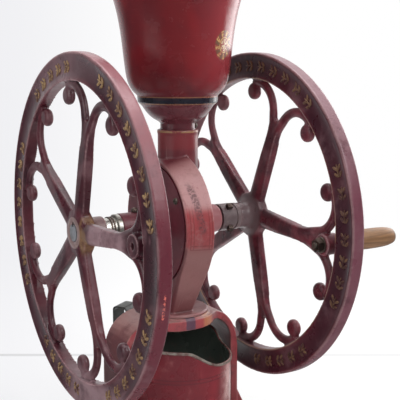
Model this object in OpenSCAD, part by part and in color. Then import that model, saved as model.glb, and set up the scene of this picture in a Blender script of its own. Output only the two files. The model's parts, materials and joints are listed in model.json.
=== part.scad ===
// Hand crank counter coffee mill: two flywheels on one shaft, cast burr chamber,
// flared hopper above and a catch can in the arched base.
// Millimetres, +Z up, +X along the shaft toward the crank, -Y the front.
// The origin is on the underside of the base, below the hopper's axis.

/* [Flywheels] */
// Outer radius of both flywheels
wheel_r = 229; // [215:1:240]
// Width of the rim along the shaft
rim_w = 18.5; // [14:0.5:24]
// Depth of the rim from tread to inner edge
rim_d = 36; // [30:0.5:42]
// Distance from the hopper's axis to the middle of the left rim
left_rim_x = 144.2; // [138:0.2:160]
// Distance from the hopper's axis to the middle of the right rim
right_rim_x = 123.4; // [121:0.2:140]
// Number of forked spokes
spoke_n = 5; // [4:1:6]
// Turn of the left wheel's crank spoke above the front
left_turn = 4.5; // [-20:0.5:20]
// Turn of the right wheel's crank spoke above the front
right_turn = -4.7; // [-20:0.1:20]
// Width of a spoke at the hub
spoke_w = 30; // [24:1:36]
// Width of each branch of the fork
branch_w = 12.6; // [10:0.2:16]
// Thickness of a branch at its ridge
branch_t = 11; // [9:0.5:16]
// Radius of the long bend of a branch
scroll_r = 39.4; // [34:0.2:44]
// Radius of the round bulb that ends each branch
bulb_r = 12; // [10:0.2:14]
// Radius of the hub
hub_r = 18.1; // [16.5:0.1:20]

/* [Shaft line] */
// Height of the shaft above the counter
shaft_h = 290; // [275:1:310]
// Radius of the shaft
shaft_r = 11; // [9:0.5:11.5]
// Outer radius of the adjusting sleeve
sleeve_r = 15; // [14.6:0.1:15.6]
// Wall of the bronze bushes
bush_wall = 2; // [1.6:0.1:2.2]
// Outer radius of the adjusting nut
nut_r = 18.8; // [17:0.2:21]
// Thickness of the adjusting nut
nut_t = 6.4; // [4:0.2:8]
// Outer radius of the thrust collar
collar_r = 19; // [17:0.5:22]
// Length of the thrust collar
collar_l = 18.6; // [15:0.2:19]
// Radius of the two bearing bosses
boss_r = 19.7; // [19:0.1:22]

/* [Burr chamber] */
// Distance from the hopper's axis to the left face of the drum
drum_left = 35; // [33:0.5:38]
// Radius of the drum at its left face
drum_r1 = 85.4; // [83:0.2:90]
// Radius of the drum at its right lip
drum_r2 = 96.5; // [91:0.5:100]
// Wall of the castings
cast_wall = 6; // [5:0.5:7]
// Radius of both burrs
burr_r = 57; // [50:0.5:59]
// Number of grinding teeth on each burr
tooth_n = 24; // [12:1:30]
// Gap between the burrs as set
burr_gap = 1.4; // [1.1:0.1:2]
// Number of screws in the cover plate
cover_screw_n = 4; // [3:1:8]

/* [Hopper] */
// Outer radius of the neck
neck_r = 27; // [26:0.2:30]
// Radius of the bean passage
throat_r = 13; // [10:0.5:13.5]
// Height of the hopper's shoulder seat above the shaft
seat_h = 126.6; // [120:0.2:135]
// Outer radius of the hopper's barrel
barrel_r = 72; // [66:0.5:78]
// Outer radius of the hopper's rim
mouth_r = 103; // [96:0.5:110]
// Height of the hopper's rim above the shaft
mouth_h = 334; // [325:1:350]
// Wall of the hopper
hopper_wall = 3.5; // [2.5:0.5:5]
// Height of the lid's dome
dome_h = 36; // [25:1:50]

/* [Base] */
// Half width of the arch outside
arch_hw = 92.7; // [90:0.1:98]
// Thickness of the arch
arch_t = 12; // [9:0.5:14]
// Height of the arch above the counter
arch_h = 164; // [158:0.5:170]
// Front edge of the arch, ahead of the hopper's axis
arch_front = 10; // [5:1:20]
// Back edge of the arch, behind the hopper's axis
arch_back = 50; // [44:1:51]
// Thickness of the foot plate
plate_t = 8; // [6:0.5:12]
// Spacing of the counter screws from left to right
screw_dx = 200; // [190:1:205]
// Spacing of the counter screws from front to back
screw_dy = 110; // [90:1:125]
// Radius of the holes for the counter screws
screw_hole_r = 3.5; // [2.5:0.1:4.5]

/* [Catch can] */
// Outer radius of the can
can_r = 73; // [68:0.5:75]
// Height of the can's back wall
can_h = 123.5; // [115:0.5:135]
// Thickness of the tin
tin_t = 1.2; // [0.8:0.1:2]
// Way the pouring mouth faces, from the front toward the crank side
mouth_turn = 52; // [30:1:70]
// Depth of the scooped mouth below the back rim
scoop_d = 30.5; // [20:0.5:50]

/* [Crank] */
// Distance from the rim's inside to the crank's axis
crank_inset = 23; // [18:0.5:30]
// Radius of the threaded hole in each crank boss
crank_hole_r = 4.2; // [3:0.1:5]
// Largest radius of the wooden grip
grip_r = 13.5; // [12:0.5:17]
// Length of the wooden grip
grip_l = 90; // [75:1:105]

/* [Hidden] */
$fn = 96;
eps = 0.01;

// Clearances
run_gap = 0.05;    // shaft in a bush, sleeve in its boss, grip on its spindle
part_gap = 0.3;    // between curved faces that move past each other
seat_gap = 0.1;    // between a fixed piece and its pocket
thrust_gap = 1;    // axial room for the grind adjustment

// Flywheels
rim_in = wheel_r - rim_d;
rim_lip_out = 3;
rim_lip_in = 1.6;
rim_cove = 3.4;
rim_bevel = 1.5;
hub_out = 10;
hub_in = 31;
hub_flare_r = 31;
spoke_root_t = 19;
stem_tip_t = 9;
edge_t = 5;
rib_bite = 2;
root_lap = 1;
root_step = 0.2;
junction_a = 19.5;
junction_r = rim_in - branch_w / 2 + rib_bite;
curl_turn = 12;
bulb_in = 13.6;
bulb_t = 11.6;
bulb_on = 8;
fork_turn = 22;
crank_fork_turn = 16;
crank_r = rim_in - crank_inset;
crank_boss_r = 14;
crank_web_t = 8;
crank_boss_t = 21;
key_w = 6;
key_h = 3;

// Stations along the shaft
left_hub_face = -left_rim_x + hub_in;
left_end = -left_rim_x - hub_out;
right_hub_face = right_rim_x - hub_in;
right_end = right_rim_x + hub_out;
cover_t = 6;
cover_proud = 1;
cover_out = -drum_left - cover_proud;
cover_in = cover_out + cover_t;
left_boss_end = left_hub_face + 23;
sleeve_end = -60;
sleeve_start = left_hub_face + seat_gap;
bush_r = shaft_r + run_gap + bush_wall;
guide_x = -76;
chamber_right = -12;
drum_right = -0.6;
passage_r = 21;
passage_end = 28;
right_boss_end = 61.6;
oil_cup_x = 46;
oil_cup_r = 5;
oil_cup_h = 6.6;
oil_hole_r = 2;
boss_round = 5;
collar_x = right_boss_end + thrust_gap;
washer_x = collar_x + collar_l + seat_gap;
washer_room = right_hub_face - seat_gap - washer_x;

// Burr chamber
chamber_r = 78;
ledge_r = 62;
ledge_t = 6;
cover_r = 80;
cover_screw_r = 2.5;
cover_screw_pcd_r = 70;
cover_screw_turn = 34;
fixed_burr_t = 7;
running_burr_t = 7;
tooth_d = 1.6;
burr_in_r = 24;
burr_x = cover_in + fixed_burr_t + burr_gap;
pin_x = burr_x + running_burr_t / 2;
pin_r = 2;
burr_hub_r = 17;
burr_window_r = 38;
worm_r = passage_r - 1.5;
worm_root_r = 13.5;
worm_t = 5;

// Neck, pedestal and foot
throat_x = 6;
spigot_r = 19;
spigot_l = 17;
neck_lip = 3.9;
arch_spring_h = 96;
arch_crown_t = 14;
arch_haunch = 16;
arch_lean = 13.5;
arch_run = 62;
arch_inner_run = 40;
crown_hw = 76;
crown_swell = 0.61;
foot_h = 172;
foot_x = -13.5;
foot_hw = 18.5;
foot_hd = 34;
flange_r = 46;
flange_x = -6;
flange_t = foot_h - arch_h - ledge_h();
foot_bolt_pcd_r = 37;
foot_bolt_turn = 25;
foot_bolt_r = 3;
foot_bolt_head_r = 5.6;
foot_bolt_head_h = 5;
chute_x = [-24, -8];
chute_hd = 22;

// Hopper profile, heights above the shaft
waist_r = 23.4;
band_r = 53.4;
band_h = [seat_h + 36.2, seat_h + 42.9];
flare_h = 40;
shoulder_r = 63;

// Base
plate_x = 112;
plate_y = [-72, 92];
plate_corner = 18;
can_floor = plate_t;

// Can
can_top = can_floor + can_h + part_gap;
lip_tilt = 3;
wire_r = 1.6;
handle_turn = 215;
handle_w = 30;
handle_reach = 23;
handle_rise = 32.5;
strap_t = 1.8;
rivet_r = 2.4;

// Crank
stud_shoulder_r = 8.9;
spindle_r = 5;
crank_shoulder_l = 8;
grip_x = right_rim_x + crank_boss_t / 2 + crank_shoulder_l;
ferrule_l = 6;
retainer_r = 6.4;
retainer_t = 4;

function ledge_h() = 3;
function arc(c, r, a0, a1, n = 12) = [for (i = [0:n]) let (a = a0 + (a1 - a0) * i / n) c + r * [cos(a), sin(a)]];
function bez(a, b, c, d, n = 10) = [for (i = [1:n]) let (t = i / n)
    a * pow(1 - t, 3) + b * 3 * t * pow(1 - t, 2) + c * 3 * t * t * (1 - t) + d * pow(t, 3)];

// Local +X is the front, +Y is up and +Z points to the left wheel
module on_shaft(x) translate([x, 0, shaft_h]) rotate([90, 0, -90]) children();
// Local +Z points to the right wheel
module along_shaft(x) translate([x, 0, shaft_h]) rotate([0, 90, 0]) children();
module ring(l, r, bore) difference() {
    cylinder(h = l, r = r);
    translate([0, 0, -1]) cylinder(h = l + 2, r = bore);
}
module screw(l, r, head_r, head_t) {
    translate([0, 0, -l]) cylinder(h = l, r = r, $fn = 24);
    difference() {
        cylinder(h = head_t, r1 = head_r, r2 = head_r * 0.82, $fn = 32);
        translate([-head_r, -0.6, head_t - 0.9]) cube([2 * head_r, 1.2, 1]);
    }
}

// ---- flywheels ----

module rim() {
    w = rim_w / 2;
    cove = [rim_in + rim_lip_in, wheel_r - rim_lip_out];
    half = concat([[rim_in, w]],
                  bez([cove[0], w], [cove[0] + 4, w - rim_cove], [cove[1] - 10, w - 1.2 * rim_cove], [cove[1], w], 8),
                  [[wheel_r - rim_bevel, w], [wheel_r, w - rim_bevel]]);
    rotate_extrude($fn = 180)
        polygon(concat(half, [for (i = [len(half) - 1:-1:0]) [half[i][0], -half[i][1]]]));
}
// Ridged section of a branch: thin at its edges, thick along its middle; g makes it a little fuller
module rib_section(g = 0) {
    w = branch_w / 2 + g;
    e = edge_t / 2 + g;
    t = branch_t / 2 + g;
    polygon([[-w, -e], [0, -t], [w, -e], [w, e], [0, t], [-w, e]]);
}
module bulb() rotate_extrude($fn = 36)
    polygon([[0, -bulb_t / 2], [bulb_r - 4, -bulb_t / 2], [bulb_r - 1, -bulb_t / 2 + 1.8], [bulb_r, -1.6],
             [bulb_r, 1.6], [bulb_r - 1, bulb_t / 2 - 1.8], [bulb_r - 4, bulb_t / 2], [0, bulb_t / 2]]);
// One branch: a straight root, a long bend out to the rim and the bulb it curls into
module branch(turn) {
    dir = [cos(junction_a), sin(junction_a)];
    side = [-sin(junction_a), cos(junction_a)];
    bend_c = (junction_r - scroll_r) * dir;
    root_end = bend_c + scroll_r * [sin(turn), -cos(turn)];
    root_l = root_end[1] / sin(turn) + 4;
    translate(root_end) rotate(turn) translate([-root_l, 0]) rotate([90, 0, 90])
        linear_extrude(root_l + root_lap) rib_section(root_step);
    translate(bend_c) rotate(turn - 90) rotate_extrude(angle = 90 + junction_a - turn + curl_turn, $fn = 120)
        translate([scroll_r, 0]) rib_section();
    translate((junction_r - bulb_in) * dir + bulb_on * side) bulb();
}
module stem(turn) {
    dir = [cos(junction_a), sin(junction_a)];
    root_end = (junction_r - scroll_r) * dir + scroll_r * [sin(turn), -cos(turn)];
    fork_s = root_end[0] - root_end[1] / tan(turn);
    tip_s = fork_s + 26;
    intersection() {
        rotate([90, 0, 90]) linear_extrude(tip_s)
            polygon([[-spoke_w / 2, -3.5], [-3, -spoke_root_t / 2], [3, -spoke_root_t / 2], [spoke_w / 2, -3.5],
                     [spoke_w / 2, 3.5], [3, spoke_root_t / 2], [-3, spoke_root_t / 2], [-spoke_w / 2, 3.5]]);
        translate([0, 0, -20]) linear_extrude(40)
            polygon([[0, -spoke_w / 2], [fork_s, -branch_w * 0.78], [tip_s, -branch_w * 0.9],
                     [tip_s, branch_w * 0.9], [fork_s, branch_w * 0.78], [0, spoke_w / 2]]);
        rotate([90, 0, 0]) translate([0, 0, -20]) linear_extrude(40)
            polygon([[0, -spoke_root_t / 2], [fork_s * 0.45, -8], [tip_s, -stem_tip_t / 2],
                     [tip_s, stem_tip_t / 2], [fork_s * 0.45, 8], [0, spoke_root_t / 2]]);
    }
}
module spoke(turn) {
    stem(turn);
    branch(turn);
    mirror([0, 1, 0]) branch(turn);
}
// Web between the two branches of the crank's spoke, out to its boss
module crank_web() {
    fork = (junction_r - scroll_r) * [cos(junction_a), sin(junction_a)]
        + scroll_r * [sin(crank_fork_turn), -cos(crank_fork_turn)];
    half = [[fork[0] - 30, 2], [fork[0], fork[1] - 1], [crank_r, 0.8 * crank_boss_r]];
    translate([0, 0, -crank_web_t / 2]) linear_extrude(crank_web_t)
        polygon(concat(half, [for (i = [2:-1:0]) [half[i][0], -half[i][1]]]));
}
module wheel(crank_turn) rotate(crank_turn) difference() {
    union() {
        rim();
        for (i = [0:spoke_n - 1]) rotate(i * 360 / spoke_n) spoke(i == 0 ? crank_fork_turn : fork_turn);
        rotate_extrude($fn = 72)
            polygon([[0, -hub_in], [hub_r, -hub_in], [hub_r, -17], [hub_r + 2, -14], [hub_r + 6, -11],
                     [hub_flare_r, -8], [hub_flare_r, 6], [hub_r + 5, 8.5], [hub_r, hub_out], [0, hub_out]]);
        translate([crank_r, 0, -crank_boss_t / 2]) cylinder(h = crank_boss_t, r = crank_boss_r, $fn = 48);
        crank_web();
    }
    translate([crank_r, 0, -crank_boss_t]) cylinder(h = 2 * crank_boss_t, r = crank_hole_r, $fn = 32);
    translate([0, 0, -hub_in - 1]) cylinder(h = hub_in + hub_out + 2, r = shaft_r);
    translate([-key_w / 2 - seat_gap, 0, -hub_in - 1])
        cube([key_w + 2 * seat_gap, shaft_r + key_h + seat_gap, hub_in + hub_out + 2]);
}
module left_wheel() color([0.36, 0.17, 0.21]) on_shaft(-left_rim_x) wheel(left_turn);
module right_wheel() color([0.36, 0.17, 0.21])
    on_shaft(right_rim_x) rotate([180, 0, 0]) wheel(-right_turn);
// The key lies in line with the slot of each turned wheel
module key(turn, l) rotate(turn) translate([-key_w / 2, shaft_r - key_h, 0]) cube([key_w, 2 * key_h, l]);
module wheel_keys() color("dimgray") {
    on_shaft(-left_rim_x) translate([0, 0, -hub_in + 3]) key(left_turn, hub_in + hub_out - 4);
    on_shaft(right_rim_x) rotate([180, 0, 0]) translate([0, 0, -hub_in + 3]) key(-right_turn, hub_in + hub_out - 4);
}

// ---- shaft line ----

module shaft() color("silver") difference() {
    along_shaft(left_end) cylinder(h = right_end - left_end, r = shaft_r);
    on_shaft(-left_rim_x) rotate(left_turn) translate([-key_w / 2, shaft_r - key_h, -hub_in + 3])
        cube([key_w, 2 * key_h, hub_in + hub_out - 2]);
    on_shaft(right_rim_x) rotate([180, 0, 0]) rotate(-right_turn)
        translate([-key_w / 2, shaft_r - key_h, -hub_in + 3]) cube([key_w, 2 * key_h, hub_in + hub_out - 2]);
    translate([pin_x, 0, shaft_h - 2 * shaft_r]) cylinder(h = 4 * shaft_r, r = pin_r + seat_gap, $fn = 24);
}
module adjusting_nut() color("silver") along_shaft(left_boss_end - seat_gap - nut_t) difference() {
    rotate_extrude() polygon([[sleeve_r + part_gap, 0], [nut_r - 0.8, 0], [nut_r, 0.8], [nut_r, nut_t - 0.8],
                              [nut_r - 0.8, nut_t], [sleeve_r + part_gap, nut_t]]);
    for (a = [0:90:270]) rotate(a + 45) translate([nut_r - 1.6, -1.6, -1]) cube([4, 3.2, nut_t + 2]);
}
module adjusting_sleeve() color("silver") difference() {
    along_shaft(sleeve_start) ring(sleeve_end - sleeve_start, sleeve_r, bush_r);
    translate([guide_x - 4, -2.3, shaft_h - sleeve_r - 1]) cube([8, 4.6, 2.2]);
}
module bush_left() color("darkgoldenrod")
    along_shaft(sleeve_start + 1) ring(sleeve_end - sleeve_start - 2, bush_r, shaft_r + run_gap);
module lock_rings() color([0.16, 0.14, 0.14]) for (x = [0, 3.7])
    along_shaft(sleeve_start + 7.2 + x) ring(1.8, sleeve_r + 1.3, sleeve_r);
module bush_right() color("darkgoldenrod")
    along_shaft(passage_end + 2) ring(right_boss_end - passage_end - 2, bush_r, shaft_r + run_gap);
module thrust_collar() color([0.47, 0.41, 0.41]) difference() {
    along_shaft(collar_x) ring(collar_l, collar_r, shaft_r);
    for (a = [50, 322]) on_shaft(collar_x + collar_l * 0.6) rotate(a) rotate([0, 90, 0])
        cylinder(h = 2 * collar_r, r = 3.1, $fn = 24);
}
module collar_set_screws() color([0.24, 0.19, 0.17]) for (a = [50, 322])
    on_shaft(collar_x + collar_l * 0.6) rotate(a) rotate([0, 90, 0]) {
        translate([0, 0, shaft_r]) cylinder(h = collar_r - shaft_r + 2, r = 3, $fn = 24);
        translate([-3.6, -3.6, collar_r + 0.6]) cube([7.2, 7.2, 5.6]);
    }
module thrust_washers() color([0.3, 0.26, 0.27]) for (i = [0:1])
    along_shaft(washer_x + i * washer_room / 2) ring(washer_room / 2 - seat_gap, i == 0 ? 17.2 : 18.6, shaft_r);

// ---- grinding set ----

// Radial teeth as shallow cuts over a flat ring; the face looks along local +Z
module burr_teeth(t, from_r) for (i = [0:tooth_n - 1]) rotate(i * 360 / tooth_n)
    translate([from_r, 0, t]) rotate([90, 0, 90]) linear_extrude(burr_r)
        polygon([[-2.2, 0.01], [1.2, 0.01], [0.9, -tooth_d]]);
module fixed_burr() color("gray") along_shaft(cover_in) difference() {
    ring(fixed_burr_t, burr_r, burr_in_r);
    burr_teeth(fixed_burr_t, burr_in_r + 10);
    for (a = [0:120:240]) rotate(a + 7.5) translate([burr_in_r + 5, 0, -1]) {
        cylinder(h = fixed_burr_t + 2, r = 2.2, $fn = 24);
        translate([0, 0, fixed_burr_t - 1.5]) cylinder(h = 4, r = 4.2, $fn = 32);
    }
}
module fixed_burr_screws() color("dimgray") along_shaft(cover_in) for (a = [0:120:240])
    rotate(a + 7.5) translate([burr_in_r + 5, 0, 0]) {
        translate([0, 0, -3]) cylinder(h = fixed_burr_t + 0.6, r = 2.1, $fn = 24);
        translate([0, 0, fixed_burr_t - 2.4]) cylinder(h = 2, r = 4, $fn = 32);
    }
module rotating_burr() color("gray") difference() {
    along_shaft(burr_x) difference() {
        union() {
            ring(running_burr_t, burr_r, burr_window_r);
            ring(running_burr_t, burr_hub_r, shaft_r);
            for (a = [0:90:270]) rotate(a + 45) translate([burr_hub_r - 2, -4.5, 1])
                cube([burr_window_r - burr_hub_r + 4, 9, running_burr_t - 1]);
        }
        mirror([0, 0, 1]) burr_teeth(0, burr_window_r + 2);
    }
    translate([pin_x, 0, shaft_h - burr_hub_r - 1])
        cylinder(h = 2 * burr_hub_r + 2, r = pin_r + seat_gap, $fn = 24);
}
module burr_pin() color("dimgray") translate([pin_x, 0, shaft_h - burr_hub_r])
    cylinder(h = 2 * burr_hub_r, r = pin_r, $fn = 24);
// Screw flight that drives the beans into the burrs
module feed_worm() color("gray") along_shaft(burr_x + running_burr_t + 0.5) difference() {
    union() {
        cylinder(h = passage_end - burr_x - running_burr_t - 2, r = worm_root_r);
        linear_extrude(passage_end - burr_x - running_burr_t - 2, twist = -500, slices = 36)
            intersection() {
                circle(r = worm_r, $fn = 20);
                translate([0, -worm_t]) square([worm_r, 2 * worm_t]);
            }
    }
    translate([0, 0, -1]) cylinder(h = 80, r = shaft_r);
}

// ---- castings ----

// Places of the cover screws, seen from the left
module at_cover_screws(x) for (i = [0:cover_screw_n - 1])
    on_shaft(x) rotate(cover_screw_turn + i * 360 / cover_screw_n) translate([cover_screw_pcd_r, 0, 0]) children();
module at_foot_bolts() for (a = [0, 180])
    translate([flange_x, 0, foot_h]) rotate(foot_bolt_turn + a) translate([foot_bolt_pcd_r, 0, 0]) children();

// The drum runs down without a step into the pedestal
module drum_and_pedestal() hull() {
    along_shaft(-drum_left) cylinder(h = 1, r = drum_r1, $fn = 180);
    along_shaft(drum_right - 1) cylinder(h = 1, r = drum_r2, $fn = 180);
    translate([foot_x - foot_hw, -foot_hd + 6, foot_h]) cube([2 * foot_hw, 2 * foot_hd - 12, 1]);
    translate([foot_x - foot_hw + 4, -foot_hd, foot_h]) cube([2 * foot_hw - 8, 2 * foot_hd, 1]);
}
module drum_back() {
    // Back of the drum and the bean chamber round the shaft
    along_shaft(drum_right) rotate_extrude($fn = 120)
        polygon(concat([[0, 0], [drum_r2 - 2, 0]],
                       bez([drum_r2 - 2, 0], [drum_r2 - 12, 9], [52, 10], [44, 22], 8),
                       bez([44, 22], [40, 30], [boss_r + 5, 33], [boss_r, 40], 6),
                       [[boss_r, right_boss_end - drum_right - boss_round]],
                       arc([boss_r - boss_round, right_boss_end - drum_right - boss_round], boss_round, 0, 90, 6),
                       [[0, right_boss_end - drum_right]]));
}
module neck_outside() translate([0, 0, shaft_h]) {
    cylinder(h = seat_h - neck_lip, r = neck_r);
    rotate_extrude() polygon([[0, seat_h - neck_lip - 2], [neck_r, seat_h - neck_lip - 2], [neck_r + 0.8, seat_h - neck_lip],
                              [neck_r + 0.8, seat_h - 0.8], [neck_r, seat_h], [0, seat_h]]);
    cylinder(h = seat_h + spigot_l, r = spigot_r);
}
module mill_body() color([0.55, 0.24, 0.26]) difference() {
    union() {
        drum_and_pedestal();
        drum_back();
        neck_outside();
        translate([flange_x, 0, arch_h + ledge_h()])
            rotate_extrude() polygon([[0, 0], [flange_r, 0], [flange_r, flange_t - 2], [flange_r - 2, flange_t], [0, flange_t]]);
        translate([0, 0, foot_h - 1]) translate([foot_x, 0, 0])
            linear_extrude(14) square([2 * foot_hw - 4, 2 * foot_hd - 8], center = true);
    }
    // Rebate for the cover, ledge for its screws, grinding chamber behind
    along_shaft(-drum_left - 1) cylinder(h = cover_in + drum_left + 1, r = cover_r);
    along_shaft(cover_in - 1) cylinder(h = ledge_t + 2, r = ledge_r);
    along_shaft(cover_in + ledge_t) cylinder(h = chamber_right - cover_in - ledge_t, r = chamber_r);
    at_cover_screws(cover_in + ledge_t + 1) cylinder(h = ledge_t + 4, r = cover_screw_r + seat_gap, $fn = 24);
    // Worm passage, throat and bearing
    along_shaft(chamber_right - 1) cylinder(h = passage_end - chamber_right + 1, r = passage_r);
    translate([throat_x, 0, shaft_h]) cylinder(h = seat_h - 2, r = throat_r);
    translate([0, 0, shaft_h + seat_h - 12]) cylinder(h = spigot_l + 20, r = spigot_r - 4);
    along_shaft(passage_end) cylinder(h = 2 + eps, r = shaft_r + part_gap);
    along_shaft(passage_end + 2) cylinder(h = right_boss_end, r = bush_r);
    // Chute for the ground coffee
    translate([chute_x[0], -chute_hd, arch_h - 10]) cube([chute_x[1] - chute_x[0], 2 * chute_hd, shaft_h - arch_h - 40]);
    at_foot_bolts() translate([0, 0, -20]) cylinder(h = 30, r = foot_bolt_r + seat_gap, $fn = 24);
    translate([oil_cup_x, 0, shaft_h]) cylinder(h = boss_r + 10, r = oil_hole_r, $fn = 24);
}
module cover_plate() color([0.3, 0.14, 0.18]) difference() {
    union() {
        along_shaft(cover_out) cylinder(h = cover_t - seat_gap, r = cover_r - part_gap, $fn = 120);
        on_shaft(cover_out) rotate_extrude() polygon(concat([[0, -1], [boss_r + 10, -1], [boss_r + 10, 0]],
            bez([boss_r + 10, 0], [boss_r + 3, 1], [boss_r + 0.5, 4], [boss_r - 0.4, 12], 6),
            [[boss_r - 0.4, cover_out - left_boss_end - 1], [boss_r - 1.4, cover_out - left_boss_end],
             [0, cover_out - left_boss_end]]));
    }
    along_shaft(left_boss_end - 1) cylinder(h = cover_in - left_boss_end + 2, r = sleeve_r + run_gap);
    at_cover_screws(cover_in + 1) cylinder(h = cover_t + 2, r = cover_screw_r + seat_gap, $fn = 24);
    for (a = [0:120:240]) along_shaft(cover_in - 3 - eps) rotate(a + 7.5)
        translate([burr_in_r + 5, 0, 0]) cylinder(h = 4, r = 2.1 + eps, $fn = 24);
    translate([guide_x, 0, shaft_h - 40]) cylinder(h = 40, r = 2.6, $fn = 24);
    translate([guide_x + 10, 0, shaft_h]) cylinder(h = 40, r = 2, $fn = 24);
}
module cover_screws() color([0.6, 0.4, 0.38]) at_cover_screws(cover_out)
    screw(cover_t + ledge_t - 0.5, cover_screw_r, 4.6, 2.4);
module foot_bolts() color([0.45, 0.2, 0.22]) at_foot_bolts() {
    translate([0, 0, eps]) cylinder(h = foot_bolt_head_h, r = foot_bolt_head_r, $fn = 6);
    translate([0, 0, -foot_h + arch_h - 4]) cylinder(h = foot_h - arch_h + 4 + eps, r = foot_bolt_r, $fn = 24);
}
module guide_screw() color("dimgray") translate([guide_x, 0, shaft_h]) {
    translate([0, 0, -boss_r - 1]) cylinder(h = 5, r = 2.5, $fn = 24);
    translate([0, 0, -sleeve_r - 1]) cylinder(h = 2.2, r = 2, $fn = 24);
    translate([0, 0, -boss_r - 4]) cylinder(h = 4, r = 4.4, $fn = 32);
}
module oil_cups() color([0.2, 0.17, 0.17]) for (p = [[oil_cup_x, boss_r], [guide_x + 10, boss_r - 0.4]])
    translate([p[0], 0, shaft_h + p[1] - 0.3]) difference() {
        union() {
            rotate_extrude($fn = 36) polygon(concat([[0, 0.6], [oil_cup_r, 0.6]],
                bez([oil_cup_r, 1.8], [oil_cup_r, oil_cup_h - 2], [oil_cup_r - 2, oil_cup_h - 0.2], [0, oil_cup_h], 8)));
            translate([0, 0, -3]) cylinder(h = 4, r = oil_hole_r - seat_gap, $fn = 24);
        }
    }

module base() color([0.52, 0.24, 0.26]) difference() {
    union() {
        translate([0, arch_back, 0]) rotate([90, 0, 0]) linear_extrude(arch_front + arch_back) difference() {
            arch_outline(0);
            arch_outline(arch_t);
        }
        linear_extrude(plate_t) plate_outline();
        // Crown that swells forward under the foot, and the seat ring on it
        intersection() {
            translate([0, arch_back, 0]) rotate([90, 0, 0]) linear_extrude(2 * arch_back) difference() {
                arch_outline(0);
                arch_outline(arch_t);
            }
            linear_extrude(arch_h + 1) crown_plan();
        }
        translate([flange_x, 0, arch_h - 3]) cylinder(h = 3 + ledge_h(), r = flange_r + 1);
        // Toes that brace each leg on the plate
        for (m = [0, 1]) mirror([m, 0, 0]) translate([arch_hw - 1, 0, plate_t - eps]) rotate([90, 0, 0])
            for (y = [-arch_back + 3, arch_front - 9]) translate([0, 0, y]) linear_extrude(6)
                polygon([[0, 0], [16, 0], [3, 26], [0, 26]]);
    }
    translate([chute_x[0], -chute_hd, arch_h - 30]) cube([chute_x[1] - chute_x[0], 2 * chute_hd, 60]);
    at_foot_bolts() translate([0, 0, -foot_h + arch_h - 4 - eps]) cylinder(h = foot_h, r = foot_bolt_r + seat_gap, $fn = 24);
    for (x = [-1, 1], y = [-1, 1])
        translate([x * screw_dx / 2, (plate_y[0] + plate_y[1]) / 2 + y * screw_dy / 2, -1])
            cylinder(h = plate_t + 2, r = screw_hole_r, $fn = 32);
}
// Arch seen from the front, drawn in by the distance t
// Outline of the arch, or of its opening when t is the leg's thickness
module arch_outline(t) {
    hw = arch_hw - t;
    top = arch_h - (t > 0 ? arch_crown_t : 0);
    spring = arch_spring_h + (t > 0 ? arch_haunch : 0);
    side = bez([hw, spring], [hw, 0.5 * (spring + top)], [hw - arch_lean, top],
               [hw - (t > 0 ? arch_inner_run : arch_run), top], 12);
    foot = [hw, t > 0 ? plate_t : 0];
    polygon(concat([foot], side, [for (i = [len(side) - 1:-1:0]) [-side[i][0], side[i][1]]], [[-foot[0], foot[1]]]));
}
module crown_plan() {
    half = bez([crown_hw, -arch_front], [crown_swell * crown_hw, -arch_front], [crown_swell * crown_hw, -flange_r - 3], [0, -flange_r - 3], 12);
    translate([flange_x, 0]) polygon(concat(half, [for (i = [len(half) - 2:-1:0]) [-half[i][0], half[i][1]]],
                                            [[-crown_hw, arch_back - 1], [crown_hw, arch_back - 1]]));
}
module plate_outline() {
    c = plate_corner;
    x = plate_x;
    polygon(concat(arc([x - c, plate_y[1] - c], c, 0, 90, 8), arc([-x + c, plate_y[1] - c], c, 90, 180, 8),
                   arc([-x + c, plate_y[0] + c], c, 180, 270, 8), arc([x - c, plate_y[0] + c], c, 270, 360, 8)));
}

// ---- hopper and lid ----

// Outside of the hopper as [radius, height above the shaft]; w draws it in
function hopper_side(w) = concat(
    [[waist_r + 1.6 - w, seat_h + 10]],
    bez([waist_r + 2 - w, seat_h + 11], [waist_r + 12.6 - w, seat_h + 14], [band_r - 10.4 - w, seat_h + 24], [band_r - 6 - w, seat_h + 31], 8),
    [[band_r - 0.6 - w, band_h[0]], [band_r - w, band_h[0] + 0.8], [band_r + 0.6 - w, band_h[1] + 2]],
    bez([band_r + 0.6 - w, band_h[1] + 3], [shoulder_r - 3 - w, band_h[1] + 6], [barrel_r - 5 - w, band_h[1] + 16],
        [barrel_r - 3 - w, band_h[1] + 32], 8),
    bez([barrel_r - 3 - w, band_h[1] + 32], [barrel_r + 1 - w, band_h[1] + 60], [barrel_r + 2 - w, band_h[1] + 92],
        [barrel_r + 11.5 - w, mouth_h - flare_h], 10),
    bez([barrel_r + 11.5 - w, mouth_h - flare_h], [barrel_r + 15 - w, mouth_h - 0.75 * flare_h], [mouth_r - 8 - w, mouth_h - 10],
        [mouth_r - 1 - w, mouth_h - 3], 8));
module hopper() color([0.47, 0.16, 0.18]) translate([0, 0, shaft_h]) difference() {
    rotate_extrude($fn = 144) polygon(concat([[0, seat_h], [waist_r + 0.6, seat_h], [waist_r + 0.6, seat_h + 1.4],
        [waist_r, seat_h + 2], [waist_r, seat_h + 8]], hopper_side(0), [[mouth_r, mouth_h - 3], [mouth_r, mouth_h], [0, mouth_h]]));
    rotate_extrude($fn = 144) polygon(concat([[0, seat_h + spigot_l], [spigot_r - 4, seat_h + spigot_l]],
        [for (p = hopper_side(hopper_wall)) if (p[1] > seat_h + spigot_l + 2) p],
        [[mouth_r - hopper_wall, mouth_h - 1], [mouth_r - hopper_wall, mouth_h + 1], [0, mouth_h + 1]]));
    translate([0, 0, seat_h - 1]) cylinder(h = spigot_l + 2, r = spigot_r + seat_gap);
    rotate(-25) translate([spigot_r - 2, 0, seat_h + 5]) rotate([0, 90, 0]) cylinder(h = 20, r = 2.1, $fn = 24);
}
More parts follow.
